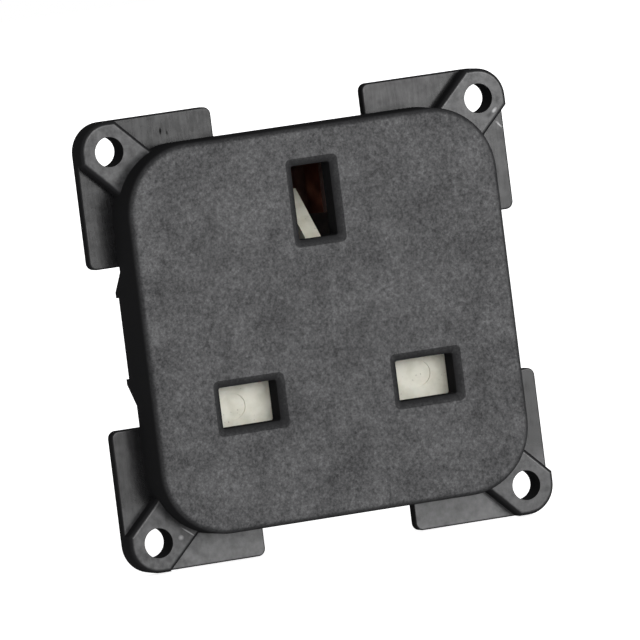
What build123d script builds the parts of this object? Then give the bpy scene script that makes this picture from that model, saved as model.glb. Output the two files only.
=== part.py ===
"""A flush wall socket module for three rectangular pins, with a sprung safety shutter.

The module is drawn with its face in the plane Y = 0, its back towards +Y and +Z up,
centred on the four fixing holes. It is moved forward at the end, so that the origin
lies in the plane where the four fixing lugs meet the panel. A depth is always a
distance behind the face, in millimetres.
"""
from build123d import *
from math import atan2, degrees
import os

# Face and skirt of the front housing
FACE_WIDTH = 46.2
FACE_OVER_EARTH = 8.73
FACE_UNDER_LIVE = 14.57
FACE_CORNER = 8.0
FACE_EDGE = 0.8
SKIRT_DRAFT = 1.0
SKIRT_WALL = 2.2
SKIRT_DEPTH = 5.35
FRONT_WALL = 2.5

# Fixing lugs and the flange arms that carry them
HOLE_PITCH_X = 46.4
HOLE_PITCH_Z = 45.7
HOLE_DIAMETER = 3.5
LUG_SET_BACK = 3.75
LUG_RADIUS = 3.5
LUG_WIDTH = 6.6
LUG_HEIGHT = 1.8
LUG_EDGE = 0.5
FLANGE_THICKNESS = 1.3
FLANGE_EDGE = 0.2
ARM_GAP_X = 19.0
ARM_GAP_Z = 18.8
ARM_CORNER = 0.9

# Latch tongue on the left and right of the skirt, with two hooks
TONGUE_CENTRE = 1.0
TONGUE_LENGTH = 15.6
TONGUE_DEPTH = 6.75
HOOK_SPACING = 10.8
HOOK_WIDTH = 0.65
HOOK_RISE = 0.85
HOOK_REACH = 0.7

# Pins of the plug
PIN_SPACING = 22.2
LIVE_PIN_WIDTH = 6.35
LIVE_PIN_HEIGHT = 3.96
LIVE_PIN_LENGTH = 17.7
EARTH_PIN_WIDTH = 3.96
EARTH_PIN_HEIGHT = 7.92
EARTH_PIN_LENGTH = 22.7

# Apertures in the face
APERTURE_SLACK_X = 0.85
LIVE_SLACK_Z = 0.84
EARTH_SLACK_Z = 0.7
LIVE_APERTURE_DROP = 0.09
APERTURE_RIM = 0.85
APERTURE_RIM_DEPTH = 0.6
APERTURE_CORNER = 0.25

# Shutter and its track
TRACK_PAD = 0.6
SLIDE_GAP = 0.25
SHUTTER_THICKNESS = 1.6
SHUTTER_TRAVEL = 5.2
SHUTTER_LAP = 0.6
STEM_WIDTH = 6.4
RAIL_WIDTH = 2.0
RAMP_WIDTH = 1.92
RAMP_TOOTH = 0.95
RAMP_DEPTH = 8.6
RAMP_NOSE = 0.6
EJECTOR_MARK = 3.0
EJECTOR_DEPTH = 0.12
EJECTOR_NEUTRAL = (-1.0, -0.25)
EJECTOR_LIVE = (0.2, 0.3)

# Return spring
SPRING_DIAMETER = 2.6
SPRING_WIRE = 0.35
SPRING_TURNS = 7
PEG_DIAMETER = 1.4
PEG_LENGTH = 1.1

# Contacts, bent from one thickness of strip, and the clips that tighten them
STRIP = 0.8
PINCH = 0.16
BEND = 0.8
STRIP_WIDTH = 6.0
EARTH_LEAF_HEIGHT = 5.8
LIVE_MOUTH_FLARE = 0.55
EARTH_MOUTH_FLARE = 0.95
MOUTH_LENGTH = 2.0
LIVE_MOUTH_DEPTH = 7.2
EARTH_MOUTH_DEPTH = 5.6
TIP_CLEARANCE = 0.6
CLIP = 0.5
CLIP_MARGIN = 0.7

# Terminals
BLOCK_WIDTH = 8.4
BLOCK_DEPTH = 4.0
HEAD_RATIO = 1.65
THREAD_DEPTH = 0.3
TERMINAL_WALL = 1.35
PARTITION = 1.02
CLAMP_WIDTH = 7.0
CLAMP_THICKNESS = 1.2
WIRE_DIAMETER = 2.0
WIRE_GROOVE = 0.35
THREAD_HOLD = 2.5
HEAD_HEIGHT = 2.1
DRIVE_WIDTH = 0.9
DRIVE_DEPTH = 1.1
CLAMP_TRAVEL = 3.0
EARTH_TERMINAL_DROP = 11.62

# Mouldings behind the shutter
COVER_THICKNESS = 1.2
COVER_EDGE = 0.7
REAR_WALL = 1.3
FLOOR = 1.4
REAR_DRAFT = 1.0
REAR_EDGE = 0.8
POST_WIDTH = 1.1
POST_HEIGHT = 2.4
POCKET_ROWS = 2
POCKET_DEPTH = 1.5
CHANNEL_FLOOR = 1.5

# Clearances
RUNNING = 0.05
SEAT = 0.05
FIT = 0.3
LOOSE = 0.2

# Places that follow from the sizes above
HALF_SPACING = PIN_SPACING / 2
FACE_HEIGHT = FACE_OVER_EARTH + PIN_SPACING + FACE_UNDER_LIVE
EARTH_Z = FACE_HEIGHT / 2 - FACE_OVER_EARTH
LIVE_Z = EARTH_Z - PIN_SPACING
LIVE_SIDES = {"live": 1, "neutral": -1}
HOLES = [(sx * HOLE_PITCH_X / 2, sz * HOLE_PITCH_Z / 2) for sx in (-1, 1) for sz in (-1, 1)]
FLANGE_FRONT = LUG_SET_BACK + LUG_HEIGHT
FLANGE_BACK = FLANGE_FRONT + FLANGE_THICKNESS
FLANGE_WIDTH = HOLE_PITCH_X + 2 * LUG_RADIUS
FLANGE_HEIGHT = HOLE_PITCH_Z + 2 * LUG_RADIUS
HOOK_DEPTH = TONGUE_DEPTH + HOOK_RISE
INNER_WIDTH = FACE_WIDTH - 2 * SKIRT_WALL
INNER_HEIGHT = FACE_HEIGHT - 2 * SKIRT_WALL
INNER_CORNER = FACE_CORNER - SKIRT_WALL
BEYOND = FLANGE_WIDTH + FLANGE_HEIGHT

LIVE_APERTURE = (LIVE_PIN_WIDTH + APERTURE_SLACK_X, LIVE_PIN_HEIGHT + LIVE_SLACK_Z)
LIVE_APERTURE_Z = LIVE_Z - LIVE_APERTURE_DROP
EARTH_APERTURE = (EARTH_PIN_WIDTH + APERTURE_SLACK_X, EARTH_PIN_HEIGHT + EARTH_SLACK_Z)
EARTH_SILL = EARTH_Z - EARTH_APERTURE[1] / 2

TRACK_DEPTH = FRONT_WALL + TRACK_PAD
SHUTTER_FRONT = TRACK_DEPTH + SLIDE_GAP
SHUTTER_BACK = SHUTTER_FRONT + SHUTTER_THICKNESS
SHUTTER_MIDDLE = (SHUTTER_FRONT + SHUTTER_BACK) / 2
BAR_TOP = LIVE_APERTURE_Z + LIVE_APERTURE[1] / 2 + SHUTTER_LAP
BAR_BOTTOM = LIVE_APERTURE_Z - LIVE_APERTURE[1] / 2 - SHUTTER_LAP
BAR_WIDTH = PIN_SPACING + LIVE_APERTURE[0] + 2 * SHUTTER_LAP
RAMP_TOP = EARTH_Z - EARTH_PIN_HEIGHT / 2 + SHUTTER_TRAVEL
RAMP_FRONT = SHUTTER_FRONT - RAMP_TOOTH
SPRING_SEAT = -INNER_HEIGHT / 2

COVER_FRONT = SHUTTER_BACK + SLIDE_GAP
COVER_BACK = COVER_FRONT + COVER_THICKNESS
RECESS_DEPTH = COVER_BACK + SEAT
REAR_FLANGE_BACK = TONGUE_DEPTH - SEAT

LIVE_LEAF_OFFSET = (LIVE_PIN_HEIGHT - PINCH + STRIP) / 2
EARTH_LEAF_OFFSET = (EARTH_PIN_WIDTH - PINCH + STRIP) / 2
LIVE_WEB_DEPTH = LIVE_PIN_LENGTH + TIP_CLEARANCE + STRIP / 2
EARTH_WEB_DEPTH = EARTH_PIN_LENGTH + TIP_CLEARANCE + STRIP / 2
EARTH_LEAF_TOP = EARTH_Z + EARTH_PIN_HEIGHT / 2
EARTH_LEAF_BOTTOM = EARTH_LEAF_TOP - EARTH_LEAF_HEIGHT
EARTH_SHELF_Z = EARTH_Z - EARTH_PIN_HEIGHT / 2 - 2 * STRIP - LOOSE

TAIL_FRONT = RAMP_DEPTH + STRIP
TAIL_MIDDLE = TAIL_FRONT + STRIP / 2
BLOCK_FRONT = TAIL_FRONT + STRIP
BLOCK_BACK = BLOCK_FRONT + BLOCK_DEPTH
CLAMP_FRONT = BLOCK_BACK + SEAT
CLAMP_BACK = CLAMP_FRONT + CLAMP_THICKNESS
HEAD_FRONT = CLAMP_BACK + SEAT
HEAD_BACK = HEAD_FRONT + HEAD_HEIGHT
SCREW_LENGTH = HEAD_FRONT - BLOCK_BACK + CLAMP_TRAVEL + THREAD_HOLD

REAR_FLANGE_WIDTH = INNER_WIDTH - 2 * FIT
REAR_FLANGE_HEIGHT = INNER_HEIGHT - 2 * FIT
BASE_HEIGHT = REAR_FLANGE_HEIGHT - LOOSE
LOWER_EDGE = -BASE_HEIGHT / 2 + LOOSE
LIVE_CAVITY_HALF = LIVE_LEAF_OFFSET + STRIP / 2 + CLIP + LOOSE
EARTH_CAVITY_HALF = EARTH_LEAF_OFFSET + EARTH_MOUTH_FLARE + STRIP / 2 + FIT

TERMINAL_BOTTOM = LOWER_EDGE + TERMINAL_WALL
BLOCK_CAVITY_HEIGHT = LIVE_Z - LIVE_CAVITY_HALF - PARTITION - TERMINAL_BOTTOM
BLOCK_HEIGHT = BLOCK_CAVITY_HEIGHT - 2 * LOOSE
CLAMP_HEIGHT = BLOCK_HEIGHT - LOOSE
HEAD_DIAMETER = BLOCK_HEIGHT
SCREW_DIAMETER = HEAD_DIAMETER / HEAD_RATIO
SCREW_BORE = SCREW_DIAMETER + 2 * RUNNING
TERMINALS = {
    "live": (HALF_SPACING, TERMINAL_BOTTOM + BLOCK_CAVITY_HEIGHT / 2),
    "neutral": (-HALF_SPACING, TERMINAL_BOTTOM + BLOCK_CAVITY_HEIGHT / 2),
    "earth": (0, EARTH_Z - EARTH_TERMINAL_DROP),
}

POCKET_WIDTH = CLAMP_WIDTH + 2 * LOOSE
BLOCK_CAVITY_WIDTH = BLOCK_WIDTH + 2 * LOOSE
COVER_WIDTH = PIN_SPACING + LIVE_APERTURE[0] + 2 * COVER_EDGE
COVER_TOP = EARTH_LEAF_TOP + FIT + 0.5 * REAR_WALL
COVER_BOTTOM = TERMINALS["live"][1] - BLOCK_HEIGHT / 2
RECESS_WIDTH = COVER_WIDTH + 2 * LOOSE
BASE_WIDTH = RECESS_WIDTH + 2 * REAR_WALL
LOWER_WIDTH = PIN_SPACING + BLOCK_CAVITY_WIDTH + 1.5 * REAR_WALL
SPINE_WIDTH = BLOCK_CAVITY_WIDTH + 2 * REAR_WALL
LOWER_TOP = LIVE_Z + LIVE_CAVITY_HALF + REAR_WALL
SPINE_TOP = TERMINALS["earth"][1] + BLOCK_CAVITY_HEIGHT / 2 + REAR_WALL
LOWER_BACK = LIVE_WEB_DEPTH + STRIP / 2 + CLIP + LOOSE + FLOOR
TOWER_BACK = EARTH_WEB_DEPTH + STRIP / 2 + CLIP + LOOSE + FLOOR


def at_depth(depth):
    """The plane parallel to the face at a depth behind it, with X right and Z up."""
    return Plane(origin=(0, depth, 0), x_dir=(1, 0, 0), z_dir=(0, -1, 0))


def slab(outline, front, back, draft=0):
    """An outline given at the back depth and filled forward; a draft narrows it to the front."""
    return extrude(at_depth(back) * outline, amount=back - front, taper=draft)


def rect(width, height, x=0, z=0, corner=0):
    """A rectangle in X and Z, with rounded corners where a radius is given."""
    shape = RectangleRounded(width, height, corner) if corner else Rectangle(width, height)
    return Pos(x, z) * shape


def span(x0, x1, z0, z1):
    """A rectangle in X and Z from its low and high sides."""
    return rect(x1 - x0, z1 - z0, (x0 + x1) / 2, (z0 + z1) / 2)


def side_profile(outline, width, x=0):
    """An outline in depth and Z, extruded to a width about a place in X."""
    return extrude(Plane.YZ.offset(x) * outline, amount=width / 2, both=True)


def front_edges(solid):
    """The edges round the foremost face."""
    return solid.faces().sort_by(Axis.Y)[0].edges()


def back_edges(solid):
    """The edges round the rearmost face."""
    return solid.faces().sort_by(Axis.Y)[-1].edges()


def tongue_outline():
    """Depth and Z outline that the skirt keeps between the arms: a flat with a hook at each end."""
    end = TONGUE_LENGTH / 2
    hook = HOOK_SPACING / 2
    inside = hook - HOOK_WIDTH
    upper = [(TONGUE_DEPTH, inside), (HOOK_DEPTH, inside), (HOOK_DEPTH, hook), (SKIRT_DEPTH, end)]
    lower = [(depth, -z) for depth, z in reversed(upper)]
    foot = [(SKIRT_DEPTH - SKIRT_WALL, -end), (SKIRT_DEPTH - SKIRT_WALL, end)]
    return Pos(0, TONGUE_CENTRE) * make_face(Polyline(*upper[::-1], *lower[::-1], *foot, close=True))


def skirt_shell():
    """The face with its drafted skirt, cut back to the skirt's depth except at the tongues."""
    outline = rect(FACE_WIDTH, FACE_HEIGHT, corner=FACE_CORNER)
    solid = extrude(at_depth(0) * outline, amount=-HOOK_DEPTH, taper=-SKIRT_DRAFT)
    solid = fillet(front_edges(solid), FACE_EDGE)
    between_arms = rect(ARM_GAP_X, BEYOND) + rect(BEYOND, ARM_GAP_Z)
    trim = slab(between_arms, SKIRT_DEPTH, HOOK_DEPTH + FIT)
    trim += slab(rect(BEYOND, BEYOND), FLANGE_BACK, HOOK_DEPTH + FIT)
    trim -= side_profile(tongue_outline(), BEYOND)
    return solid - trim


def flange_arms():
    """Four corner pieces whose arms run along the skirt and end in rounded corners."""
    outline = rect(FLANGE_WIDTH, FLANGE_HEIGHT, corner=LUG_RADIUS)
    outline -= rect(ARM_GAP_X, BEYOND) + rect(BEYOND, ARM_GAP_Z)
    ends = []
    for vertex in outline.vertices():
        on_x = abs(abs(vertex.X) - ARM_GAP_X / 2) < 1e-6
        on_z = abs(abs(vertex.Y) - ARM_GAP_Z / 2) < 1e-6
        if on_x != on_z:
            ends.append(vertex)
    outline = fillet(ends, ARM_CORNER)
    arms = slab(outline, FLANGE_FRONT, FLANGE_BACK)
    front = [edge for face in arms.faces().group_by(Axis.Y)[0] for edge in face.edges()]
    return fillet(front, FLANGE_EDGE)


def lug(x, z):
    """The flange's rounded corner about a hole, raised, and trimmed to a band on the diagonal."""
    reach = LUG_RADIUS + SKIRT_WALL
    turn = degrees(atan2(z, x))
    corner = rect(FLANGE_WIDTH, FLANGE_HEIGHT, corner=LUG_RADIUS)
    band = Pos(x, z) * Rot(0, 0, turn) * Rectangle(2 * reach, LUG_WIDTH)
    solid = slab(corner & band, LUG_SET_BACK, FLANGE_BACK)
    return fillet(front_edges(solid), LUG_EDGE)


def aperture(x, z, size):
    """The cutter for a pin aperture: a straight hole with a chamfered rim at the face."""
    width, height = size
    past = FIT
    grow = APERTURE_RIM * (APERTURE_RIM_DEPTH + past) / APERTURE_RIM_DEPTH
    hole = slab(rect(width, height, x, z, APERTURE_CORNER), -past, TRACK_DEPTH + past)
    rim = rect(width + 2 * grow, height + 2 * grow, x, z, APERTURE_CORNER + grow / 2)
    inner = at_depth(APERTURE_RIM_DEPTH) * rect(width, height, x, z, APERTURE_CORNER)
    return hole + loft([at_depth(-past) * rim, inner])


def front_housing():
    """Face, skirt, arms and lugs in one moulding, with the shutter's track inside."""
    body = skirt_shell() + flange_arms()
    for x, z in HOLES:
        body += lug(x, z)
    body -= slab(rect(INNER_WIDTH, INNER_HEIGHT, corner=INNER_CORNER), FRONT_WALL, HOOK_DEPTH + FIT)
    body += latch_hooks() + shutter_track()
    for x, z in HOLES:
        body -= slab(Pos(x, z) * Circle(HOLE_DIAMETER / 2), 0, HOOK_DEPTH)
    for side in LIVE_SIDES.values():
        body -= aperture(side * HALF_SPACING, LIVE_APERTURE_Z, LIVE_APERTURE)
    body -= aperture(0, EARTH_Z, EARTH_APERTURE)
    groove_end = EARTH_SILL - 2 * RAMP_NOSE - SHUTTER_TRAVEL - FIT
    body -= slab(span(-RAMP_WIDTH / 2 - SLIDE_GAP, RAMP_WIDTH / 2 + SLIDE_GAP, groove_end, EARTH_Z),
                 RAMP_FRONT - SLIDE_GAP, TRACK_DEPTH + FIT)
    return body


def latch_hooks():
    """The four catches that reach inward over the rear housing's flange."""
    outer = FACE_WIDTH / 2 - SKIRT_WALL / 2
    inner = REAR_FLANGE_WIDTH / 2 - HOOK_REACH
    end = TONGUE_LENGTH / 2
    hook = HOOK_SPACING / 2
    slope = (end - hook) / (HOOK_DEPTH - SKIRT_DEPTH)
    foot = hook + slope * HOOK_RISE
    corners = [(TONGUE_DEPTH, hook - HOOK_WIDTH), (HOOK_DEPTH, hook - HOOK_WIDTH),
               (HOOK_DEPTH, hook), (TONGUE_DEPTH, foot)]
    hooks = Part()
    for mirror in (-1, 1):
        catch = make_face(Polyline(*[(depth, mirror * z) for depth, z in corners], close=True))
        for side in (-1, 1):
            middle = side * (outer + inner) / 2
            hooks += side_profile(Pos(0, TONGUE_CENTRE) * catch, outer - inner, middle)
    return hooks


def shutter_track():
    """The raised pad that the shutter slides on, two guide rails and the spring's peg."""
    bottom = BAR_BOTTOM - SHUTTER_TRAVEL - SHUTTER_LAP
    top = EARTH_Z + EARTH_APERTURE[1] / 2 + SHUTTER_LAP
    half = BAR_WIDTH / 2 + SHUTTER_LAP
    pad = slab(span(-half, half, bottom, top), FRONT_WALL - RUNNING, TRACK_DEPTH)
    relief = SPRING_DIAMETER / 2 + FIT
    seat = span(-relief, relief, bottom - FIT, BAR_BOTTOM + SHUTTER_LAP)
    pad -= slab(seat, FRONT_WALL, TRACK_DEPTH + FIT)
    rail_x = STEM_WIDTH / 2 + SLIDE_GAP + RAIL_WIDTH / 2
    rail_height = EARTH_SILL - APERTURE_RIM - RAIL_WIDTH / 2 - BAR_TOP - RUNNING
    rail_middle = BAR_TOP + RUNNING + rail_height / 2
    for side in (-1, 1):
        rail = rect(RAIL_WIDTH, rail_height, side * rail_x, rail_middle)
        pad += slab(rail, FRONT_WALL, COVER_FRONT - RUNNING)
    peg = Cylinder(PEG_DIAMETER / 2, PEG_LENGTH + FIT, align=(Align.CENTER, Align.CENTER, Align.MIN))
    return pad + Pos(0, SHUTTER_MIDDLE, SPRING_SEAT - FIT) * peg


def shutter():
    """A plate with a flag over each live and neutral aperture and a ramp in the earth aperture."""
    stem_top = EARTH_SILL - RAMP_NOSE
    outline = span(-BAR_WIDTH / 2, BAR_WIDTH / 2, BAR_BOTTOM, BAR_TOP)
    outline += span(-STEM_WIDTH / 2, STEM_WIDTH / 2, BAR_BOTTOM, stem_top)
    plate = slab(outline, SHUTTER_FRONT, SHUTTER_BACK)
    for side, offset in ((-1, EJECTOR_NEUTRAL), (1, EJECTOR_LIVE)):
        mark = Pos(side * HALF_SPACING + offset[0], LIVE_Z + offset[1]) * Circle(EJECTOR_MARK / 2)
        plate -= slab(mark, SHUTTER_FRONT - FIT, SHUTTER_FRONT + EJECTOR_DEPTH)
    nose = RAMP_NOSE
    ramp = make_face(Polyline(
        (SHUTTER_FRONT, stem_top - nose),
        (RAMP_FRONT, stem_top),
        (RAMP_FRONT, EARTH_SILL),
        (RAMP_DEPTH, RAMP_TOP),
        (RAMP_DEPTH, RAMP_TOP - 2 * nose),
        (SHUTTER_BACK, stem_top - nose),
        close=True))
    ramp = fillet(ramp.vertices().group_by(Axis.X)[0], nose / 3)
    plate += side_profile(ramp, RAMP_WIDTH)
    peg = Cylinder(PEG_DIAMETER / 2, PEG_LENGTH + FIT, align=(Align.CENTER, Align.CENTER, Align.MAX))
    return plate + Pos(0, SHUTTER_MIDDLE, BAR_BOTTOM + FIT) * peg


def shutter_spring():
    """A compression spring with ground ends, from the skirt's floor to the shutter's lower edge."""
    length = BAR_BOTTOM - SPRING_SEAT - 2 * SEAT
    radius = (SPRING_DIAMETER - SPRING_WIRE) / 2
    pitch = length / SPRING_TURNS
    path = Helix(pitch, length, radius)
    wire = sweep(Plane(path @ 0, z_dir=path % 0) * Circle(SPRING_WIRE / 2), path=path, is_frenet=True)
    ground = Box(SPRING_DIAMETER + FIT, SPRING_DIAMETER + FIT, length,
                 align=(Align.CENTER, Align.CENTER, Align.MIN))
    return Pos(0, SHUTTER_MIDDLE, SPRING_SEAT + SEAT) * (wire & ground)


def strip(points, width, x=0):
    """Flat strip folded along points in depth and Z, with rounded bends."""
    return side_profile(trace(FilletPolyline(*points, radius=BEND), STRIP), width, x)


def live_contact(name):
    """A folded strip: a flared leaf over the pin, a web behind its tip, a leaf under it, a tail."""
    x, terminal_z = TERMINALS[name]
    over = LIVE_Z + LIVE_LEAF_OFFSET
    under = LIVE_Z - LIVE_LEAF_OFFSET
    end = terminal_z - BLOCK_HEIGHT / 2
    points = [(LIVE_MOUTH_DEPTH, over + LIVE_MOUTH_FLARE), (LIVE_MOUTH_DEPTH + MOUTH_LENGTH, over),
              (LIVE_WEB_DEPTH, over), (LIVE_WEB_DEPTH, under), (TAIL_MIDDLE, under), (TAIL_MIDDLE, end)]
    solid = strip(points, STRIP_WIDTH, x)
    return solid - screw_hole(x, terminal_z)


def earth_contact():
    """Two upright leaves joined behind the pin's tip, with a strip led forward to the terminal."""
    x, terminal_z = TERMINALS["earth"]
    flare = EARTH_LEAF_OFFSET + EARTH_MOUTH_FLARE
    throat = EARTH_MOUTH_DEPTH + MOUTH_LENGTH
    web = (EARTH_LEAF_OFFSET, EARTH_WEB_DEPTH)
    right = [(flare, EARTH_MOUTH_DEPTH), (EARTH_LEAF_OFFSET, throat), web]
    left = [(-across, depth) for across, depth in reversed(right)]
    leaves = trace(FilletPolyline(*right, *left, radius=BEND), STRIP)
    solid = Pos(0, 0, EARTH_LEAF_BOTTOM) * extrude(leaves, amount=EARTH_LEAF_HEIGHT)
    points = [(EARTH_WEB_DEPTH, EARTH_LEAF_BOTTOM + STRIP / 2), (EARTH_WEB_DEPTH, EARTH_SHELF_Z),
              (TAIL_MIDDLE, EARTH_SHELF_Z), (TAIL_MIDDLE, terminal_z - BLOCK_HEIGHT / 2)]
    solid += strip(points, STRIP_WIDTH, x)
    return solid - screw_hole(x, terminal_z)


def screw_hole(x, z):
    """The clearance hole for a terminal screw through a contact's tail."""
    return slab(Pos(x, z) * Circle(SCREW_BORE / 2 + LOOSE), COVER_BACK, BLOCK_FRONT + RUNNING)


def grip_clip(name):
    """A hard steel clip that wraps a contact from behind and presses its leaves together."""
    earth = name == "earth"
    offset = EARTH_LEAF_OFFSET if earth else LIVE_LEAF_OFFSET
    web = EARTH_WEB_DEPTH if earth else LIVE_WEB_DEPTH
    reach = offset + STRIP / 2 + CLIP / 2
    back = web + STRIP / 2 + CLIP / 2
    front = BLOCK_FRONT + STRIP / 2
    points = [(front, reach), (back, reach), (back, -reach), (front, -reach)]
    outline = trace(FilletPolyline(*points, radius=BEND + (STRIP + CLIP) / 2), CLIP)
    if earth:
        middle = (EARTH_LEAF_BOTTOM + EARTH_LEAF_TOP) / 2
        height = EARTH_LEAF_HEIGHT - 2 * CLIP_MARGIN
        upright = extrude(Rot(0, 0, 90) * outline, amount=height / 2, both=True)
        return Pos(0, 0, middle) * upright
    x = TERMINALS[name][0]
    return side_profile(Pos(0, LIVE_Z) * outline, STRIP_WIDTH - 2 * CLIP_MARGIN, x)


def terminal_block(name):
    """A brass block behind the contact's tail, tapped for the terminal screw."""
    x, z = TERMINALS[name]
    block = slab(rect(BLOCK_WIDTH, BLOCK_HEIGHT, x, z), BLOCK_FRONT, BLOCK_BACK)
    block = chamfer(back_edges(block), LOOSE)
    return block - slab(Pos(x, z) * Circle(SCREW_BORE / 2), BLOCK_FRONT - FIT, BLOCK_BACK + FIT)


def clamp_plate(name):
    """The plate under the screw head, with a groove for a conductor on each side of the screw."""
    x, z = TERMINALS[name]
    plate = slab(rect(CLAMP_WIDTH, CLAMP_HEIGHT, x, z, LOOSE), CLAMP_FRONT, CLAMP_BACK)
    plate = chamfer(back_edges(plate), LOOSE)
    plate -= slab(Pos(x, z) * Circle(SCREW_BORE / 2), CLAMP_FRONT - FIT, CLAMP_BACK + FIT)
    groove = Cylinder(WIRE_DIAMETER / 2, CLAMP_HEIGHT + FIT)
    groove_x = (SCREW_BORE + WIRE_DIAMETER) / 2
    for side in (-1, 1):
        place = (x + side * groove_x, CLAMP_FRONT + WIRE_GROOVE - WIRE_DIAMETER / 2, z)
        plate -= Pos(*place) * groove
    return plate


def terminal_screw(name):
    """A cheese-head screw with a slot and a short cross, its shank drawn at the root of the thread."""
    x, z = TERMINALS[name]
    head = slab(Circle(HEAD_DIAMETER / 2), HEAD_FRONT, HEAD_BACK)
    head = fillet(back_edges(head), DRIVE_WIDTH / 3)
    drive = rect(HEAD_DIAMETER + FIT, DRIVE_WIDTH) + rect(DRIVE_WIDTH, HEAD_DIAMETER / 2)
    head -= slab(drive, HEAD_BACK - DRIVE_DEPTH, HEAD_BACK + FIT)
    shank = slab(Circle(SCREW_DIAMETER / 2 - THREAD_DEPTH), HEAD_FRONT - SCREW_LENGTH, HEAD_FRONT)
    shank = chamfer(front_edges(shank), DRIVE_WIDTH / 3)
    return Pos(x, 0, z) * (head + shank)


def contact_cover():
    """The thin moulding that closes the contact cavities and backs the shutter."""
    half = COVER_WIDTH / 2
    cover = slab(span(-half, half, COVER_BOTTOM, COVER_TOP), COVER_FRONT, COVER_BACK)
    for x, z in TERMINALS.values():
        for side in (-1, 1):
            post_x = x + side * (SCREW_BORE / 2 + POST_WIDTH / 2)
            post = rect(POST_WIDTH, POST_HEIGHT, post_x, z - LOOSE)
            cover += slab(post, COVER_BACK - RUNNING, TAIL_FRONT - SEAT)
    for side in LIVE_SIDES.values():
        window = rect(LIVE_APERTURE[0], LIVE_APERTURE[1], side * HALF_SPACING, LIVE_APERTURE_Z)
        cover -= slab(window, COVER_FRONT - FIT, COVER_BACK + FIT)
    sill = EARTH_SILL - 2 * RAMP_NOSE - SHUTTER_TRAVEL - FIT
    window = span(-EARTH_CAVITY_HALF, EARTH_CAVITY_HALF, sill, EARTH_LEAF_TOP + FIT)
    cover -= slab(window, COVER_FRONT - FIT, COVER_BACK + FIT)
    return cover - spring_slot()


def spring_slot():
    """The channel that clears the return spring behind the shutter."""
    half = SPRING_DIAMETER / 2 + FIT
    back = SHUTTER_MIDDLE + SPRING_DIAMETER / 2 + FIT
    return slab(span(-half, half, SPRING_SEAT - FIT, BAR_BOTTOM + SHUTTER_LAP), COVER_FRONT - FIT, back)


def rear_housing_outside():
    """Flange, base, the block round the live and neutral contacts, and the earth contact's tower."""
    flange = slab(rect(REAR_FLANGE_WIDTH, REAR_FLANGE_HEIGHT, corner=INNER_CORNER - FIT),
                  COVER_FRONT, REAR_FLANGE_BACK)
    base = slab(rect(BASE_WIDTH, BASE_HEIGHT, corner=2 * REAR_WALL), COVER_FRONT, TAIL_FRONT, -REAR_DRAFT)
    lower = span(-LOWER_WIDTH / 2, LOWER_WIDTH / 2, LOWER_EDGE, LOWER_TOP)
    lower = slab(lower, REAR_FLANGE_BACK, LOWER_BACK)
    lower = fillet(lower.edges().filter_by(Axis.Y), REAR_WALL)
    lower = fillet(back_edges(lower), REAR_EDGE)
    spine = span(-SPINE_WIDTH / 2, SPINE_WIDTH / 2, LOWER_EDGE, SPINE_TOP)
    spine = slab(spine, REAR_FLANGE_BACK, LOWER_BACK)
    spine = fillet(back_edges(spine), REAR_EDGE)
    tower_half = EARTH_CAVITY_HALF + REAR_WALL
    tower_low = EARTH_SHELF_Z - STRIP / 2 - LOOSE - REAR_WALL
    tower_top = EARTH_LEAF_TOP + FIT + REAR_WALL
    tower = slab(span(-tower_half, tower_half, tower_low, tower_top), REAR_FLANGE_BACK, TOWER_BACK)
    tower = fillet(tower.edges().filter_by(Axis.Y), REAR_WALL)
    tower = fillet(back_edges(tower), REAR_EDGE)
    return flange + base + lower + spine + tower


def rear_housing():
    """The rear moulding, hollowed from the front for the contacts and from the back for the wires."""
    body = rear_housing_outside()
    half = RECESS_WIDTH / 2
    recess = span(-half, half, COVER_BOTTOM - LOOSE, COVER_TOP + LOOSE)
    body -= slab(recess, COVER_FRONT - FIT, RECESS_DEPTH)
    tail_half = STRIP_WIDTH / 2 + FIT
    for x, z in (TERMINALS["live"], TERMINALS["neutral"]):
        cavity = rect(2 * tail_half, 2 * LIVE_CAVITY_HALF, x, LIVE_Z)
        body -= slab(cavity, COVER_FRONT, LOWER_BACK - FLOOR)
        body -= slab(span(x - tail_half, x + tail_half, z, LIVE_Z), COVER_FRONT, BLOCK_FRONT + LOOSE)
    cavity_low = EARTH_SHELF_Z - STRIP / 2 - LOOSE
    cavity = span(-EARTH_CAVITY_HALF, EARTH_CAVITY_HALF, cavity_low, EARTH_LEAF_TOP + FIT)
    body -= slab(cavity, COVER_FRONT, TOWER_BACK - FLOOR)
    tail = span(-EARTH_CAVITY_HALF, EARTH_CAVITY_HALF, TERMINALS["earth"][1], EARTH_Z)
    body -= slab(tail, COVER_FRONT, BLOCK_FRONT + LOOSE)
    for x, z in TERMINALS.values():
        block = rect(BLOCK_CAVITY_WIDTH, BLOCK_CAVITY_HEIGHT, x, z)
        body -= slab(block, COVER_FRONT, BLOCK_BACK)
        top = z + CLAMP_HEIGHT / 2 + LOOSE
        pocket = span(x - POCKET_WIDTH / 2, x + POCKET_WIDTH / 2, -FACE_HEIGHT / 2, top)
        body -= slab(pocket, BLOCK_BACK, LOWER_BACK + FIT)
    return body - earth_channel() - base_pockets() - spring_slot()


def earth_channel():
    """The deep part of the earth wire's channel, from under the earth block to the lower edge."""
    half = POCKET_WIDTH / 2
    top = TERMINALS["earth"][1] - BLOCK_CAVITY_HEIGHT / 2 - REAR_WALL
    return slab(span(-half, half, -FACE_HEIGHT / 2, top), RECESS_DEPTH + CHANNEL_FLOOR, LOWER_BACK + FIT)


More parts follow.
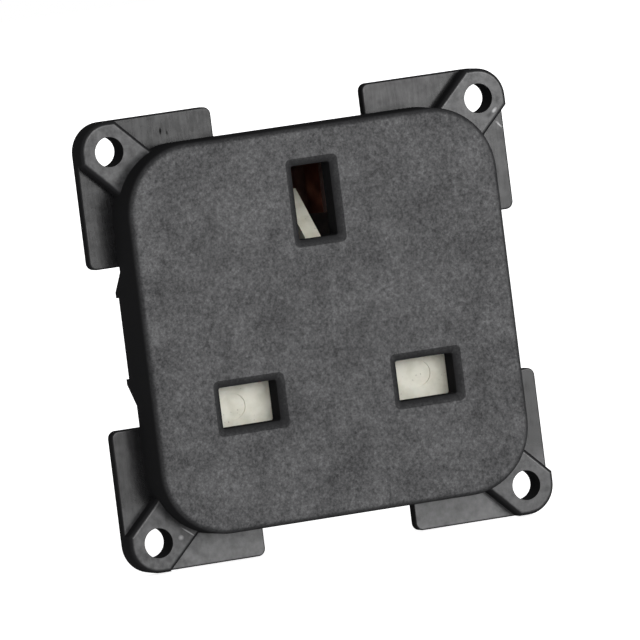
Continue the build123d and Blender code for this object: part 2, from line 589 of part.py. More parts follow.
def base_pockets():
    """Shallow pockets that core the base on each side of the tower, with ribs left between them."""
    inner = SPINE_WIDTH / 2 + REAR_WALL
    outer = BASE_WIDTH / 2 - 2 * REAR_WALL
    low = LOWER_TOP + REAR_WALL
    pitch = (BASE_HEIGHT / 2 - REAR_WALL - low) / POCKET_ROWS
    pockets = Part()
    for side in (-1, 1):
        for row in range(POCKET_ROWS):
            x, z = side * (inner + outer) / 2, low + (row + 0.5) * pitch - REAR_WALL / 2
            outline = rect(outer - inner, pitch - REAR_WALL, x, z, REAR_EDGE)
            pockets += slab(outline, TAIL_FRONT - POCKET_DEPTH, TAIL_FRONT + FIT)
    return pockets


def build():
    """Every piece of the module, by the name of its node."""
    pieces = {
        "front_housing": front_housing(),
        "rear_housing": rear_housing(),
        "contact_cover": contact_cover(),
        "shutter": shutter(),
        "shutter_spring": shutter_spring(),
        "earth_contact": earth_contact(),
    }
    for name in LIVE_SIDES:
        pieces[name + "_contact"] = live_contact(name)
    for name in TERMINALS:
        pieces[name + "_grip_clip"] = grip_clip(name)
        pieces[name + "_terminal_block"] = terminal_block(name)
        pieces[name + "_clamp_plate"] = clamp_plate(name)
        pieces[name + "_terminal_screw"] = terminal_screw(name)
    return pieces


os.makedirs("parts", exist_ok=True)
for node, piece in build().items():
    export_step(Pos(0, -LUG_SET_BACK, 0) * piece, f"parts/{node}.step")
    print(node, round(piece.volume, 1), "mm3")
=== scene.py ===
# %% [markdown]
# A wall socket module, dressed for a picture.
# The solid parts come packed from the CAD side, and this file gives them finishes, light and
# a camera. At rest nothing here moves a part or changes its shape. The only pieces that it adds
# are the threads of the three terminal screws.

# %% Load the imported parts
import math

import bpy
import numpy as np
from mathutils import Matrix, Vector


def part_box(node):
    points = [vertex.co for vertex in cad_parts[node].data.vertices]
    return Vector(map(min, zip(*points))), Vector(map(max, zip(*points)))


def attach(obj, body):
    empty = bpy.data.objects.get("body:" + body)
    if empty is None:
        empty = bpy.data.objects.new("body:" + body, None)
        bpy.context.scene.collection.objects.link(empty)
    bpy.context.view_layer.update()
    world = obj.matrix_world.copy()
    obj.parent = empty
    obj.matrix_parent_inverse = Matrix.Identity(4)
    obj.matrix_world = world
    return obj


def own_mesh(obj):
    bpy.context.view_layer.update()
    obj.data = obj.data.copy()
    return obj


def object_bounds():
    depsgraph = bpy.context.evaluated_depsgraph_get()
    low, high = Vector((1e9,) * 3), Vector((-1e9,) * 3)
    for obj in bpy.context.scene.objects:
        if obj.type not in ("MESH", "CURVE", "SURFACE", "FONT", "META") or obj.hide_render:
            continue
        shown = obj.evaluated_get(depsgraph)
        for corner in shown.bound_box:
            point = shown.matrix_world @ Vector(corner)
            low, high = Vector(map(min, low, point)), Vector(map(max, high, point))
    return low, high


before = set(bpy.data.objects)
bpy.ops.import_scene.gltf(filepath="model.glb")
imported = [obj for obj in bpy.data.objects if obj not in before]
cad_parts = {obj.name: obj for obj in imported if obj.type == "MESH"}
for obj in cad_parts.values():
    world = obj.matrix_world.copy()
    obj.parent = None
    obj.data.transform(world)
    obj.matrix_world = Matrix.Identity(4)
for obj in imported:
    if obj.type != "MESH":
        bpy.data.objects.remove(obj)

MM = 0.001
POLES = ("live", "neutral", "earth")
cad_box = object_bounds()

# %% [markdown]
# The camera comes first, because every other choice is judged through it.
# The module was seen from the front left and slightly above, with the camera tipped a little,
# so the socket looks turned anticlockwise. A long lens from far away keeps its edges nearly
# parallel. The view could be framed by eye, but here the direction, the tip and the point
# looked at are plain numbers, so the same view comes back on every run.

# %% Camera
VIEW_AZIMUTH = -21.1
VIEW_ELEVATION = 3.846
VIEW_TIP = 7.165
VIEW_DISTANCE = 1.5
VIEW_LENS = 727.5
VIEW_NEAR, VIEW_FAR = 0.1, 20
FACE_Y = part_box("front_housing")[0][1]
AIM = Vector((-1.365 * MM, FACE_Y, 0.2285 * MM))
UPWARD = Vector((0, 0, 1))


def outward(azimuth, elevation):
    """The way from the module to a viewer: sines and cosines of two angles given in degrees."""
    azimuth, elevation = math.radians(azimuth), math.radians(elevation)
    return Vector((math.sin(azimuth) * math.cos(elevation),
                   -math.cos(azimuth) * math.cos(elevation), math.sin(elevation)))


def camera_matrix():
    """The camera's axes: back points from the target to the lens, right and up turn about it."""
    back, tip = outward(VIEW_AZIMUTH, VIEW_ELEVATION), math.radians(VIEW_TIP)
    level = UPWARD.cross(back).normalized()
    plumb = back.cross(level)
    right = level * math.cos(tip) - plumb * math.sin(tip)
    up = level * math.sin(tip) + plumb * math.cos(tip)
    turn = Matrix((right, up, back)).transposed().to_4x4()
    return Matrix.Translation(AIM + back * VIEW_DISTANCE) @ turn


camera = bpy.data.objects.new("camera", bpy.data.cameras.new("camera"))
camera.matrix_world = camera_matrix()
camera.data.lens = VIEW_LENS
camera.data.clip_start, camera.data.clip_end = VIEW_NEAR, VIEW_FAR
bpy.context.scene.collection.objects.link(camera)
bpy.context.scene.camera = camera
print("camera at", [round(c, 3) for c in camera.matrix_world.translation])

# %% [markdown]
# Every material is a small graph of nodes. One function adds a node, sets its properties and
# fills its inputs: a number or colour is set on the input, and an output of another node is
# linked to it. Colours are written as they look on a screen, in hex, and turned to linear light.

# %% Node and colour helpers
OPAQUE = 1.0
NOISE_LOW, NOISE_HIGH = 0.3, 0.7  # nearly all of a noise lies between these two


def linear(code):
    """A hex screen colour as linear RGBA: c / 12.92 if dark, else ((c + 0.055) / 1.055) ^ 2.4."""
    channels = np.array([int(code[i:i + 2], 16) for i in (1, 3, 5)]) / 255
    low, high = channels / 12.92, ((channels + 0.055) / 1.055) ** 2.4
    return (*np.where(channels <= 0.04045, low, high).tolist(), OPAQUE)


def add(tree, kind, inputs=None, **settings):
    """Adds a node: settings are its properties, inputs are values or sockets by name or number."""
    made = tree.nodes.new(kind)
    for name, value in settings.items():
        setattr(made, name, value)
    for socket, value in (inputs or {}).items():
        if isinstance(value, bpy.types.NodeSocket):
            tree.links.new(value, made.inputs[socket])
        else:
            made.inputs[socket].default_value = value
    return made


def material(name):
    """A new material and its node tree, with nothing in it yet."""
    made = bpy.data.materials.new(name)
    made.use_nodes = True
    made.node_tree.nodes.clear()
    return made, made.node_tree


WHITE = linear("#ffffff")
print("white is", WHITE)

# %% [markdown]
# Much of what the eye sees of black plastic is what the plastic mirrors, so the lamps stand
# where their reflections are wanted. The key lamp is nearly in front and above, where it lights
# the face and the edges that look up. The gloss lamp is lower and to the right, where the glossy
# arms and lugs mirror it to the camera. The back lamp does the same for the rear, which the
# front lamps never reach. All three are wide, so their shadows are soft, and a weak even sky
# fills the rest. Sky and floor look white only to the camera and in reflections, so the
# background stays clean without washing out the black. The floor glows a little less than white
# and the lamps add the rest, so it still shows the shadow.

# %% Light and floor
SKY_WHITE, SKY_FILL = 1.0, 0.10
LAMP_DISTANCE = 1.6
LAMPS = {
    # name: azimuth and elevation in degrees, size in metres, power in watts
    "key": (-8.0, 24.0, 1.2, 14.0),
    "gloss": (24.0, 5.0, 1.0, 14.5),
    "back": (165.0, 40.0, 1.0, 9.0),
}
FLOOR_SIZE = 3.0
FLOOR_GAP = 0.2 * MM
FLOOR_WHITE, FLOOR_GLOW = 0.87, 0.2
CARD_WHITE, CARD_ROUGH = linear("#f2f2f2"), 0.9


def white_to_viewer(tree, bright, dim):
    """A strength: bright for rays from the camera, a mirror or a glass, and dim for the rest."""
    path = add(tree, "ShaderNodeLightPath")
    seen = path.outputs["Is Camera Ray"]
    for ray in ("Is Glossy Ray", "Is Transmission Ray"):
        seen = add(tree, "ShaderNodeMath", {0: seen, 1: path.outputs[ray]},
                   operation="MAXIMUM").outputs[0]
    level = add(tree, "ShaderNodeMapRange", {"Value": seen, "To Min": dim, "To Max": bright})
    return level.outputs[0]


def soft_sky():
    """The world: an even white sky, dim except where it is looked at."""
    world = bpy.data.worlds.new("soft_sky")
    world.use_nodes = True
    tree = world.node_tree
    tree.nodes.clear()
    sky = add(tree, "ShaderNodeBackground", {
        "Color": WHITE, "Strength": white_to_viewer(tree, SKY_WHITE, SKY_FILL)})
    add(tree, "ShaderNodeOutputWorld", {"Surface": sky.outputs[0]})
    bpy.context.scene.world = world


def soft_lamp(name, azimuth, elevation, size, power):
    """A square lamp that looks at the origin from an azimuth and elevation given in degrees."""
    back = outward(azimuth, elevation)
    lamp = bpy.data.objects.new(name, bpy.data.lights.new(name, "AREA"))
    lamp.data.size = size
    lamp.data.energy = power
    lamp.location = back * LAMP_DISTANCE
    lamp.rotation_mode = "QUATERNION"
    lamp.rotation_quaternion = (-back).to_track_quat("-Z", "Y")
    bpy.context.scene.collection.objects.link(lamp)


def pale_floor():
    """A flat sheet under the lowest point of the module. Matt card: no mirror, a soft shadow."""
    half, z = FLOOR_SIZE / 2, cad_box[0].z - FLOOR_GAP
    corners = [(-half, -half, z), (half, -half, z), (half, half, z), (-half, half, z)]
    mesh = bpy.data.meshes.new("floor")
    mesh.from_pydata(corners, [], [(0, 1, 2, 3)])
    floor = bpy.data.objects.new("floor", mesh)
    bpy.context.scene.collection.objects.link(floor)
    paint, tree = material("white_card")
    shader = add(tree, "ShaderNodeBsdfPrincipled", {
        "Base Color": CARD_WHITE, "Roughness": CARD_ROUGH, "Specular IOR Level": 0.0,
        "Emission Color": WHITE,
        "Emission Strength": white_to_viewer(tree, FLOOR_WHITE, FLOOR_GLOW)})
    add(tree, "ShaderNodeOutputMaterial", {"Surface": shader.outputs[0]})
    mesh.materials.append(paint)


soft_sky()
for name, numbers in LAMPS.items():
    soft_lamp(name, *numbers)
pale_floor()
view_settings = bpy.context.scene.view_settings
view_settings.view_transform = "Standard"

# %% [markdown]
# The housing is one black polycarbonate moulding, and its finish changes from place to place.
# The face comes from spark-eroded steel, so it is matt and grey-black with a fine grain. The
# arms and lugs come from polished steel, so they are deep black and glossy, and the gloss holds
# faint drag lines and small soft patches. The lug tops are painted paler than the arms as well,
# a painted sheen over their own black. Scuffs came with handling. Pictures of a real surface
# could give all this, but noises at real sizes never repeat and stay sharp from close up, and
# each scuff is a soft ellipse at its own place.

# %% Black moulding: the grain, the drag lines and the marks
# Real spark grain is about 0.05 mm, and real polishing lines lie about 0.02 mm apart. Both are
# too fine to show, so they are drawn as coarse as they need to be.
GRAIN = 0.26 * MM
PIT = 0.50 * MM
CLOUD = 5.0 * MM
PATCH = 1.3 * MM
DRAG_PITCH = 0.22 * MM
DRAG_LENGTH = 2.6 * MM
PIT_SHARE, CLOUD_SHARE, PATCH_SHARE = 0.4, 0.28, 0.6
SCUFF_CORE = 0.2
SCUFFS = [
    # x, z, length and width in mm, turn in degrees, tone from -1 (dark) to 1 (light)
    (-16.0, 24.3, 1.0, 0.35, 85, -1.0),
    (-15.2, 24.0, 0.7, 0.30, 90, -0.6),
    (-19.4, -22.1, 2.3, 0.22, -38, 1.0),
    (26.1, 19.4, 1.3, 0.30, -50, 0.9),
    (25.0, 21.2, 1.0, 0.50, 40, 0.8),
    (25.5, 22.4, 1.3, 0.90, 60, -0.5),
    (24.4, 20.8, 1.1, 0.70, 35, -0.5),
    (25.5, -23.6, 2.0, 0.80, 15, -0.4),
    (-20.4, -22.6, 0.8, 0.70, 0, 0.5),
    (-22.2, -24.9, 1.0, 0.80, 0, -0.3),
    (-15.5, -0.3, 4.9, 0.45, -85, -0.25),
    (-5.5, -7.3, 0.9, 0.60, 30, -0.3),
    (-13.5, 13.2, 0.9, 0.70, 0, -0.25),
]


def grain(tree, at):
    """The face's grain: a fine noise mixed with coarser pits, alone and then over slow clouds."""
    fine = add(tree, "ShaderNodeTexNoise", {
        "Vector": at, "Scale": 1 / GRAIN, "Detail": 2.0, "Roughness": 0.7})
    pits = add(tree, "ShaderNodeTexNoise", {
        "Vector": at, "Scale": 1 / PIT, "Detail": 2.0, "Roughness": 0.6})
    clouds = add(tree, "ShaderNodeTexNoise", {
        "Vector": at, "Scale": 1 / CLOUD, "Detail": 4.0, "Roughness": 0.6, "Distortion": 0.3})
    pitted = add(tree, "ShaderNodeMix", {0: PIT_SHARE, 2: fine.outputs[0], 3: pits.outputs[0]})
    clouded = add(tree, "ShaderNodeMix", {
        0: CLOUD_SHARE, 2: pitted.outputs[0], 3: clouds.outputs[0]})
    return pitted.outputs[0], clouded.outputs[0]


def polishing(tree, at):
    """The polish's own marks: soft patches, and those mixed with a noise drawn out along Z."""
    patches = add(tree, "ShaderNodeTexNoise", {
        "Vector": at, "Scale": 1 / PATCH, "Detail": 4.0, "Roughness": 0.65})
    drawn_out = add(tree, "ShaderNodeMapping", {
        "Vector": at, "Scale": (1 / DRAG_PITCH, 1 / DRAG_LENGTH, 1 / DRAG_LENGTH)})
    lines = add(tree, "ShaderNodeTexNoise", {
        "Vector": drawn_out.outputs[0], "Scale": 1.0, "Detail": 2.0, "Roughness": 0.7})
    streaks = add(tree, "ShaderNodeMix", {
        0: PATCH_SHARE, 2: lines.outputs[0], 3: patches.outputs[0]})
    return patches.outputs[0], streaks.outputs[0]


def scuff_tones(tree, at):
    """The sum of small soft ellipses, each turned, squeezed and faded out from its middle."""
    total = 0.0
    for x, z, length, width, turn, tone in SCUFFS:
        centred = add(tree, "ShaderNodeMapping", {
            "Vector": at, "Location": (x * MM, 0, z * MM),
            "Rotation": (0, -math.radians(turn), 0),
            "Scale": (length * MM / 2, 1.0, width * MM / 2)}, vector_type="TEXTURE")
        away = add(tree, "ShaderNodeVectorMath", {0: centred.outputs[0]}, operation="LENGTH")
        scuff = add(tree, "ShaderNodeMapRange", {
            "Value": away.outputs["Value"], "From Min": SCUFF_CORE, "From Max": 1.0,
            "To Min": tone, "To Max": 0.0})
        total = add(tree, "ShaderNodeMath", {0: total, 1: scuff.outputs[0]},
                    operation="ADD").outputs[0]
    return total


print("scuffs:", len(SCUFFS))

# %% [markdown]
# How deep the surface lies and where it looks tell the finishes apart: the face is the foremost
# plane, the lug tops lie where the panel will be, the arms lie behind them, and what looks
# sideways is an edge or a wall. Each of these is a mask that goes from 0 to 1 between two
# values. The faces of the mesh could carry one material each, but then a finish would stop at a
# hard line, where the real one fades round the edge.

# %% Black moulding: which finish is where
RIM_DEPTH = 0.6 * MM
REGIONS = {
    # name: what is read, and its values where the mask is 0 and where it is 1
    "forward": ("facing", -0.83, -1.0),
    "back": ("facing", 0.5, 0.95),
    "face": ("depth", -1.0 * MM, -2.0 * MM),
    "arm": ("depth", 0.9 * MM, 1.5 * MM),
    # painted shade: sideways surfaces darken with depth behind the face
    "shade_with_depth": ("depth", FACE_Y, FACE_Y + RIM_DEPTH),
    "low": ("height", -18 * MM, -22 * MM),
}
POWERS = {"flat": 3.0, "crown": 1.5}  # a higher power leaves more of a rounded edge out


def region_masks(tree, spot, normal):
    """Map Range stretches each reading from 0 to 1, and powers of forward narrow it at an edge."""
    read = {"depth": spot.outputs["Y"], "height": spot.outputs["Z"], "facing": normal.outputs["Y"]}
    mask = {}
    for name, (source, start, end) in REGIONS.items():
        mask[name] = add(tree, "ShaderNodeMapRange", {
            "Value": read[source], "From Min": start, "From Max": end}).outputs[0]
    for name, power in POWERS.items():
        mask[name] = add(tree, "ShaderNodeMath", {0: mask["forward"], 1: power},
                         operation="POWER").outputs[0]
    mask["open"] = add(tree, "ShaderNodeMix", {
        0: mask["face"], 2: mask["flat"], 3: mask["crown"]}).outputs[0]
    return mask


print("regions:", ", ".join(REGIONS))

# %% [markdown]
# The colour is built up as a painter would: the shades of each finish first, then one finish
# laid over another where its mask says. The low ends of the arms are paler. An edge beside the
# face is grey like the face's grain, and further back it darkens to the plastic's black as a
# painted shade, deeper in the apertures and down the walls. Every step is one Mix node, so the
# steps stand in a table.

# %% Black moulding: colour
FACE_DARK, FACE_PALE = linear("#2d2d2e"), linear("#7e7e7f")
EDGE_DARK, EDGE_PALE = linear("#2c2c2d"), linear("#585859")
ARM_DARK, ARM_PALE = linear("#0e0e0f"), linear("#242425")
# painted sheen: lug tops painted paler than the arms, over their own patchy black
LUG_SHEEN_DARK, LUG_SHEEN_PALE = linear("#242425"), linear("#4a4a4b")
ARM_LOW_PALE = linear("#747475")
# The wall colour is the plastic's black, laid on deeper surfaces as painted shade.
WALL_SHADE, BACK_TONE = linear("#262627"), linear("#4a4a4c")
SCUFF_PALE, SCUFF_DARK = linear("#b0b0b1"), linear("#1a1a1a")
GRAIN_LOW, GRAIN_HIGH, GRAIN_POWER = 0.26, 0.74, 1.6


def moulding_colour(tree, mask, clouded, patches, streaks, scuffs):
    """Each tone is a noise stretched from 0 to 1, and each mix takes its share of two colours."""
    tone = {}
    for name, noise, low, high in (("grain", clouded, GRAIN_LOW, GRAIN_HIGH),
                                   ("arm", streaks, NOISE_LOW, NOISE_HIGH),
                                   ("lug", patches, NOISE_LOW, NOISE_HIGH)):
        tone[name] = add(tree, "ShaderNodeMapRange", {
            "Value": noise, "From Min": low, "From Max": high}).outputs[0]
    grained = add(tree, "ShaderNodeMath", {0: tone["grain"], 1: GRAIN_POWER}, operation="POWER")
    low_pale_share = add(tree, "ShaderNodeMath", {0: mask["low"], 1: patches}, operation="MULTIPLY")
    dark_share = add(tree, "ShaderNodeMath", {0: scuffs, 1: -1.0}, operation="MULTIPLY")
    steps = (
        # result, share, colour where the share is 0, colour where it is 1
        ("face", grained.outputs[0], FACE_DARK, FACE_PALE),
        ("edge", grained.outputs[0], EDGE_DARK, EDGE_PALE),
        ("arm", tone["arm"], ARM_DARK, ARM_PALE),
        ("lug", tone["lug"], LUG_SHEEN_DARK, LUG_SHEEN_PALE),
        # The low ends of the arms are paler, in patches.
        ("pale low arm", low_pale_share.outputs[0], "arm", ARM_LOW_PALE),
        ("set back", mask["arm"], "lug", "pale low arm"),
        ("front", mask["face"], "set back", "face"),
        ("pale marks", scuffs, "front", SCUFF_PALE),
        ("all marks", dark_share.outputs[0], "pale marks", SCUFF_DARK),
        # painted shade: the edge darkens to the wall colour with depth, partly the plastic's own
        # black
        ("wall", mask["shade_with_depth"], "edge", WALL_SHADE),
        ("outside", mask["open"], "wall", "all marks"),
        ("whole", mask["back"], "outside", BACK_TONE),
    )
    mixed = {}
    for result, share, under, over in steps:
        mixed[result] = add(tree, "ShaderNodeMix", {
            0: share, 6: mixed.get(under, under), 7: mixed.get(over, over)},
            data_type="RGBA").outputs[2]
    return mixed["whole"]


print("face from", FACE_DARK[:3], "to", FACE_PALE[:3])

# %% [markdown]
# The gloss is a coat over the plastic. The coat alone carries the reflection, so the plastic
# under it has none of its own, and the gloss can fade out with the coat's weight: nearly all on
# the arms and lugs, almost none on the matt face. Handling rubbed the upper left duller than the
# lower right. A bump as deep as the real grain breaks up the light on the face.

# %% Black moulding: the material
WALL_ROUGH, LUG_ROUGH, FACE_ROUGH = 0.50, 0.48, 0.62
GLOSS_LOW, GLOSS_HIGH = 0.62, 1.25
RUB_REACH, RUB_LOW, RUB_HIGH = 48 * MM, 0.62, 1.15
SCUFF_GLOSS = 0.8
FACE_COAT, BACK_COAT = 0.05, 0.4
COAT_ROUGH = 0.22
POLYCARBONATE_IOR = 1.585
GRAIN_HEIGHT = 0.02 * MM


def moulding_polish(tree, mask, spot, streaks, scuffs):
    """The roughness by region, and the coat: streaks times handling, plus a share of the scuffs."""
    front_rough = add(tree, "ShaderNodeMapRange", {
        "Value": mask["face"], "To Min": LUG_ROUGH, "To Max": FACE_ROUGH})
    rough = add(tree, "ShaderNodeMapRange", {
        "Value": mask["forward"], "To Min": WALL_ROUGH, "To Max": front_rough.outputs[0]})
    across = add(tree, "ShaderNodeMath", {0: spot.outputs["X"], 1: spot.outputs["Z"]},
                 operation="SUBTRACT")
    rubbed = add(tree, "ShaderNodeMapRange", {
        "Value": across.outputs[0], "From Min": -RUB_REACH, "From Max": RUB_REACH,
        "To Min": RUB_LOW, "To Max": RUB_HIGH})
    streaked = add(tree, "ShaderNodeMapRange", {
        "Value": streaks, "From Min": NOISE_LOW, "From Max": NOISE_HIGH,
        "To Min": GLOSS_LOW, "To Max": GLOSS_HIGH})
    gloss = add(tree, "ShaderNodeMath", {0: streaked.outputs[0], 1: rubbed.outputs[0]},
                operation="MULTIPLY")
    marked = add(tree, "ShaderNodeMath", {0: scuffs, 1: SCUFF_GLOSS, 2: gloss.outputs[0]},
                 operation="MULTIPLY_ADD")
    front_coat = add(tree, "ShaderNodeMix", {0: mask["face"], 2: marked.outputs[0], 3: FACE_COAT})
    flat_coat = add(tree, "ShaderNodeMath", {0: mask["flat"], 1: front_coat.outputs[0]},
                    operation="MULTIPLY", use_clamp=True)
    coat = add(tree, "ShaderNodeMath", {0: mask["back"], 1: BACK_COAT, 2: flat_coat.outputs[0]},
               operation="MULTIPLY_ADD")
    return rough.outputs[0], coat.outputs[0]


def black_moulding():
    """Polycarbonate: the eye sees a dusty grey-black face between deep black, glossy arms."""
    paint, tree = material("spark_eroded_black_polycarbonate")
    place = add(tree, "ShaderNodeTexCoord")
    at = place.outputs["Object"]
    spot = add(tree, "ShaderNodeSeparateXYZ", {0: at})
    normal = add(tree, "ShaderNodeSeparateXYZ", {0: place.outputs["Normal"]})
    mask = region_masks(tree, spot, normal)
    pitted, clouded = grain(tree, at)
    patches, streaks = polishing(tree, at)
    scuffs = scuff_tones(tree, at)
    colour = moulding_colour(tree, mask, clouded, patches, streaks, scuffs)
    rough, coat = moulding_polish(tree, mask, spot, streaks, scuffs)
    bump = add(tree, "ShaderNodeBump", {
        "Strength": mask["face"], "Distance": GRAIN_HEIGHT, "Height": pitted})
    shader = add(tree, "ShaderNodeBsdfPrincipled", {
        "Base Color": colour, "Roughness": rough, "Specular IOR Level": 0.0, "Coat Weight": coat,
        "Coat Roughness": COAT_ROUGH, "Coat IOR": POLYCARBONATE_IOR, "Normal": bump.outputs[0]})
    add(tree, "ShaderNodeOutputMaterial", {"Surface": shader.outputs[0]})
    return paint


def wear(node, paint):
    """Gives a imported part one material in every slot."""
    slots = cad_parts[node].material_slots
    for slot in slots:
        slot.material = paint
    if not slots:
        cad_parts[node].data.materials.append(paint)
    print(node, "wears", paint.name)


wear("front_housing", black_moulding())

# %% [markdown]
# The shutter is white acetal, a slippery plastic that is a little translucent and picks up grey
# handling marks. A plain white would do from far away, but faint clouds and a few dark specks
# keep it from looking like paper.

# %% White shutter
ACETAL, ACETAL_SHADE = linear("#d3d1c4"), linear("#bbb9a9")
SPECK = linear("#7a746a")
SHADE_SIZE, SHADE_LOW, SHADE_HIGH = 2.0 * MM, 0.40, 0.70
SPECK_SIZE, SPECK_LOW, SPECK_HIGH = 0.45 * MM, 0.72, 0.80
ACETAL_ROUGH, ACETAL_IOR = 0.38, 1.48
TRANSLUCENCY, LIGHT_DEPTH = 0.08, 0.4 * MM


def white_acetal():
    """Acetal: a warm soft white, from slow clouds, and specks where a fine noise runs high."""
    paint, tree = material("moulded_white_acetal")
    at = add(tree, "ShaderNodeTexCoord").outputs["Object"]
    cloud = add(tree, "ShaderNodeTexNoise", {"Vector": at, "Scale": 1 / SHADE_SIZE, "Detail": 3.0})
    shaded = add(tree, "ShaderNodeMapRange", {
        "Value": cloud.outputs[0], "From Min": SHADE_LOW, "From Max": SHADE_HIGH})
    clean = add(tree, "ShaderNodeMix", {0: shaded.outputs[0], 6: ACETAL, 7: ACETAL_SHADE},
                data_type="RGBA")
    fine = add(tree, "ShaderNodeTexNoise", {"Vector": at, "Scale": 1 / SPECK_SIZE, "Detail": 1.0})
    specks = add(tree, "ShaderNodeMapRange", {
        "Value": fine.outputs[0], "From Min": SPECK_LOW, "From Max": SPECK_HIGH})
    colour = add(tree, "ShaderNodeMix", {0: specks.outputs[0], 6: clean.outputs[2], 7: SPECK},
                 data_type="RGBA")
    shader = add(tree, "ShaderNodeBsdfPrincipled", {
        "Base Color": colour.outputs[2], "Roughness": ACETAL_ROUGH, "IOR": ACETAL_IOR,
        "Subsurface Weight": TRANSLUCENCY, "Subsurface Scale": LIGHT_DEPTH})
    add(tree, "ShaderNodeOutputMaterial", {"Surface": shader.outputs[0]})
    return paint


wear("shutter", white_acetal())

# %% [markdown]
# The metal parts are bronze strip, turned brass, plated steel and spring steel. They share one
# recipe: a metal whose colour drifts a little between two shades, with fine lines left by
# rolling or turning in its roughness. What looks straight forward is painted paler: partly as
# metal cut or sheared clean, partly as a painted highlight, and the earth contact's leaf shows
# it as a pale edge in the earth aperture. Only the numbers differ from metal to metal, so they
# stand in a table.

# %% Metals
METALS = {
    # name: pale, dark and cut-edge shade (painted highlight), roughness low and high, line pitch in
    # mm along x, y, z.
    # Real lines lie about 0.01 mm apart, too fine to show, so they are drawn ten times coarser.
    # Bronze strip: a dull warm brown, because bronze darkens in air.
    "rolled_phosphor_bronze": ("#7a5244", "#3c2420", "#f6d9d0", 0.34, 0.55, (0.12, 3.0, 3.0)),
    # Turned brass: a warm yellow, with fine rings round its axis.
    "turned_brass": ("#d8b163", "#a97f3a", "#e2c07a", 0.24, 0.42, (2.0, 0.10, 2.0)),
    # Zinc plate: a cool pale grey with a soft shine.
    "zinc_plated_steel": ("#c9ccd0", "#9fa3a8", "#d2d5d8", 0.26, 0.44, (1.2, 0.15, 1.2)),
    # Spring steel: a darker blue-grey, from tempering.
    "tempered_spring_steel": ("#8d9197", "#5c6067", "#a2a6ac", 0.25, 0.40, (0.15, 2.0, 2.0)),
}
STAIN_SIZE, STAIN_LOW, STAIN_HIGH = 3.0 * MM, 0.35, 0.70
CUT_HIGHLIGHT_START, CUT_HIGHLIGHT_END = -0.8, -0.98


def metal(name):
    """A metal whose shade follows a slow noise, and its roughness one drawn out into lines."""
    pale, dark, cut_highlight, smooth, rough, pitch = METALS[name]
    paint, tree = material(name)
    place = add(tree, "ShaderNodeTexCoord")
    at = place.outputs["Object"]
    normal = add(tree, "ShaderNodeSeparateXYZ", {0: place.outputs["Normal"]})
    # painted highlight: faces turned to the front take the paler cut-edge shade
    cut_highlight_mask = add(tree, "ShaderNodeMapRange", {
        "Value": normal.outputs["Y"], "From Min": CUT_HIGHLIGHT_START, "From Max": CUT_HIGHLIGHT_END})
    drawn_out = add(tree, "ShaderNodeMapping", {
        "Vector": at, "Scale": tuple(1 / (p * MM) for p in pitch)})
    lines = add(tree, "ShaderNodeTexNoise", {
        "Vector": drawn_out.outputs[0], "Scale": 1.0, "Detail": 3.0})
    stains = add(tree, "ShaderNodeTexNoise", {"Vector": at, "Scale": 1 / STAIN_SIZE, "Detail": 2.0})
    stained = add(tree, "ShaderNodeMapRange", {
        "Value": stains.outputs[0], "From Min": STAIN_LOW, "From Max": STAIN_HIGH})
    body = add(tree, "ShaderNodeMix", {0: stained.outputs[0], 6: linear(pale), 7: linear(dark)},
               data_type="RGBA")
    colour = add(tree, "ShaderNodeMix", {0: cut_highlight_mask.outputs[0], 6: body.outputs[2], 7: linear(cut_highlight)},
                 data_type="RGBA")
    lined = add(tree, "ShaderNodeMapRange", {
        "Value": lines.outputs[0], "From Min": NOISE_LOW, "From Max": NOISE_HIGH,
        "To Min": smooth, "To Max": rough})
    shader = add(tree, "ShaderNodeBsdfPrincipled", {
        "Base Color": colour.outputs[2], "Metallic": 1.0, "Roughness": lined.outputs[0]})
    add(tree, "ShaderNodeOutputMaterial", {"Surface": shader.outputs[0]})
    return paint


BRONZE, BRASS, PLATED, SPRING = (metal(name) for name in METALS)
for pole in POLES:
    wear(pole + "_contact", BRONZE)
    wear(pole + "_grip_clip", SPRING)
    wear(pole + "_terminal_block", BRASS)
    wear(pole + "_clamp_plate", PLATED)
    wear(pole + "_terminal_screw", PLATED)
wear("shutter_spring", SPRING)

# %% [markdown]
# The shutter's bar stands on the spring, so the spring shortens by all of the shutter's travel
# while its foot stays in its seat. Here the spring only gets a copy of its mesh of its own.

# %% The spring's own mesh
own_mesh(bpy.data.objects["shutter_spring"])

# %% [markdown]
# The terminal screws have a right-hand thread, 0.6 mm from turn to turn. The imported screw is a
# plain shank at the thread's root. A bump could only fake the ridge, and a modifier
# would need a profile to carry round, so the ridge is a surface worked out from two numbers: the
# angle round the screw, and the place across the ridge. It turns and slides with its screw.

# %% Screw threads
PITCH = 0.6 * MM
THREAD_DEPTH = 0.28 * MM
THREAD_FOOT = 0.5 * MM
THREAD_CREST = 0.08 * MM
THREAD_SINK = 0.03 * MM
HEAD_HEIGHT = 2.1 * MM
SHANK_RADIUS = 1.397 * MM
RUN_OUT = math.pi
STEPS_PER_TURN = 48


def surface(name, rings):
    """A closed tube through rings of points, shaped (rings, points, 3), with both ends faced."""
    count, around = rings.shape[:2]
    index = np.arange(count * around).reshape(count, around)
    beside = np.roll(index, -1, axis=1)
    sides = np.stack([index[:-1], index[1:], beside[1:], beside[:-1]], axis=-1).reshape(-1, 4)
    ends = [index[0].tolist(), index[-1][::-1].tolist()]
    mesh = bpy.data.meshes.new(name)
    mesh.from_pydata(rings.reshape(-1, 3).tolist(), [], sides.tolist() + ends)
    made = bpy.data.objects.new(name, mesh)
    bpy.context.scene.collection.objects.link(made)
    return made


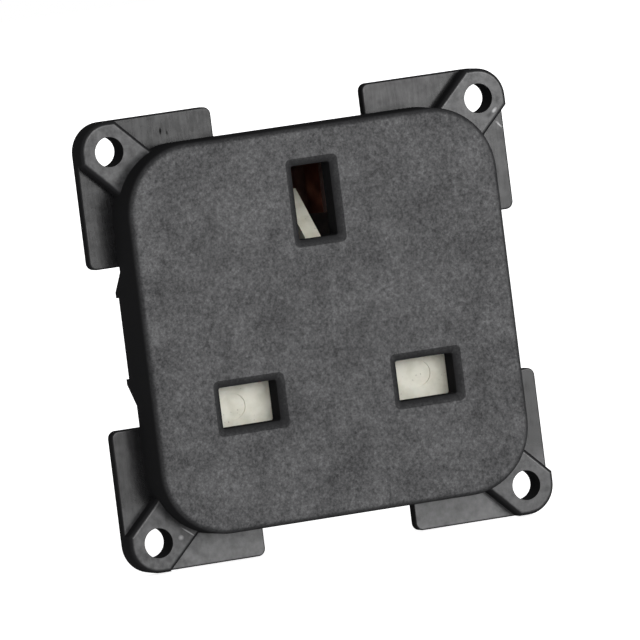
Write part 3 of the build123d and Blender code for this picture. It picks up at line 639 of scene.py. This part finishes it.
def screw_thread(pole):
    """The ridge: its height grows by one pitch a turn, and its radius rises to the crest."""
    low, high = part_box(pole + "_terminal_screw")
    start, stop = low.y + THREAD_FOOT / 2, high.y - HEAD_HEIGHT - THREAD_FOOT / 2
    turns = (stop - start) / PITCH
    angle = np.linspace(0, 2 * math.pi * turns, int(turns * STEPS_PER_TURN))
    fade = np.clip(np.minimum(angle, angle[-1] - angle) / RUN_OUT, 0, 1)[:, None]
    across = np.array([-THREAD_FOOT, -THREAD_CREST, THREAD_CREST, THREAD_FOOT]) / 2
    rise = np.array([0, 1, 1, 0]) * fade
    radius = SHANK_RADIUS - THREAD_SINK + rise * (THREAD_DEPTH + THREAD_SINK)
    height = start + PITCH * angle[:, None] / (2 * math.pi) + across
    rings = np.stack([(low.x + high.x) / 2 + radius * np.sin(angle)[:, None], height,
                      (low.z + high.z) / 2 + radius * np.cos(angle)[:, None]], axis=-1)
    ridge = surface(pole + "_screw_thread", rings)
    ridge.data.materials.append(PLATED)
    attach(ridge, pole + "_screw")
    print(ridge.name, "turns:", round(turns, 1))


for pole in POLES:
    screw_thread(pole)

# %% [markdown]
# The mouldings behind are plain black nylon. Nobody looks at them once the socket is fitted, so
# their mould is only machined smooth, and the plastic shows soft flow clouds and a duller sheen.
# One material serves both, because they come from the same kind of mould.

# %% Rear mouldings
NYLON_DARK, NYLON_PALE = linear("#222223"), linear("#343435")
NYLON_SMOOTH, NYLON_ROUGH, NYLON_IOR = 0.38, 0.62, 1.53
TOOL_MARK_STRENGTH, TOOL_MARK_DEPTH = 0.3, 0.01 * MM


def black_nylon():
    """Nylon: an even soft black, from flow clouds and the fine rub of a machined mould."""
    paint, tree = material("machined_mould_black_nylon")
    at = add(tree, "ShaderNodeTexCoord").outputs["Object"]
    cloud = add(tree, "ShaderNodeTexNoise", {
        "Vector": at, "Scale": 1 / CLOUD, "Detail": 4.0, "Distortion": 0.6})
    rub = add(tree, "ShaderNodeTexNoise", {"Vector": at, "Scale": 1 / GRAIN, "Detail": 2.0})
    colour = add(tree, "ShaderNodeMix", {0: cloud.outputs[0], 6: NYLON_DARK, 7: NYLON_PALE},
                 data_type="RGBA")
    rough = add(tree, "ShaderNodeMapRange", {
        "Value": rub.outputs[0], "To Min": NYLON_SMOOTH, "To Max": NYLON_ROUGH})
    bump = add(tree, "ShaderNodeBump", {
        "Strength": TOOL_MARK_STRENGTH, "Distance": TOOL_MARK_DEPTH, "Height": rub.outputs[0]})
    shader = add(tree, "ShaderNodeBsdfPrincipled", {
        "Base Color": colour.outputs[2], "Roughness": rough.outputs[0], "IOR": NYLON_IOR,
        "Normal": bump.outputs[0]})
    add(tree, "ShaderNodeOutputMaterial", {"Surface": shader.outputs[0]})
    return paint


NYLON = black_nylon()
wear("rear_housing", NYLON)
wear("contact_cover", NYLON)
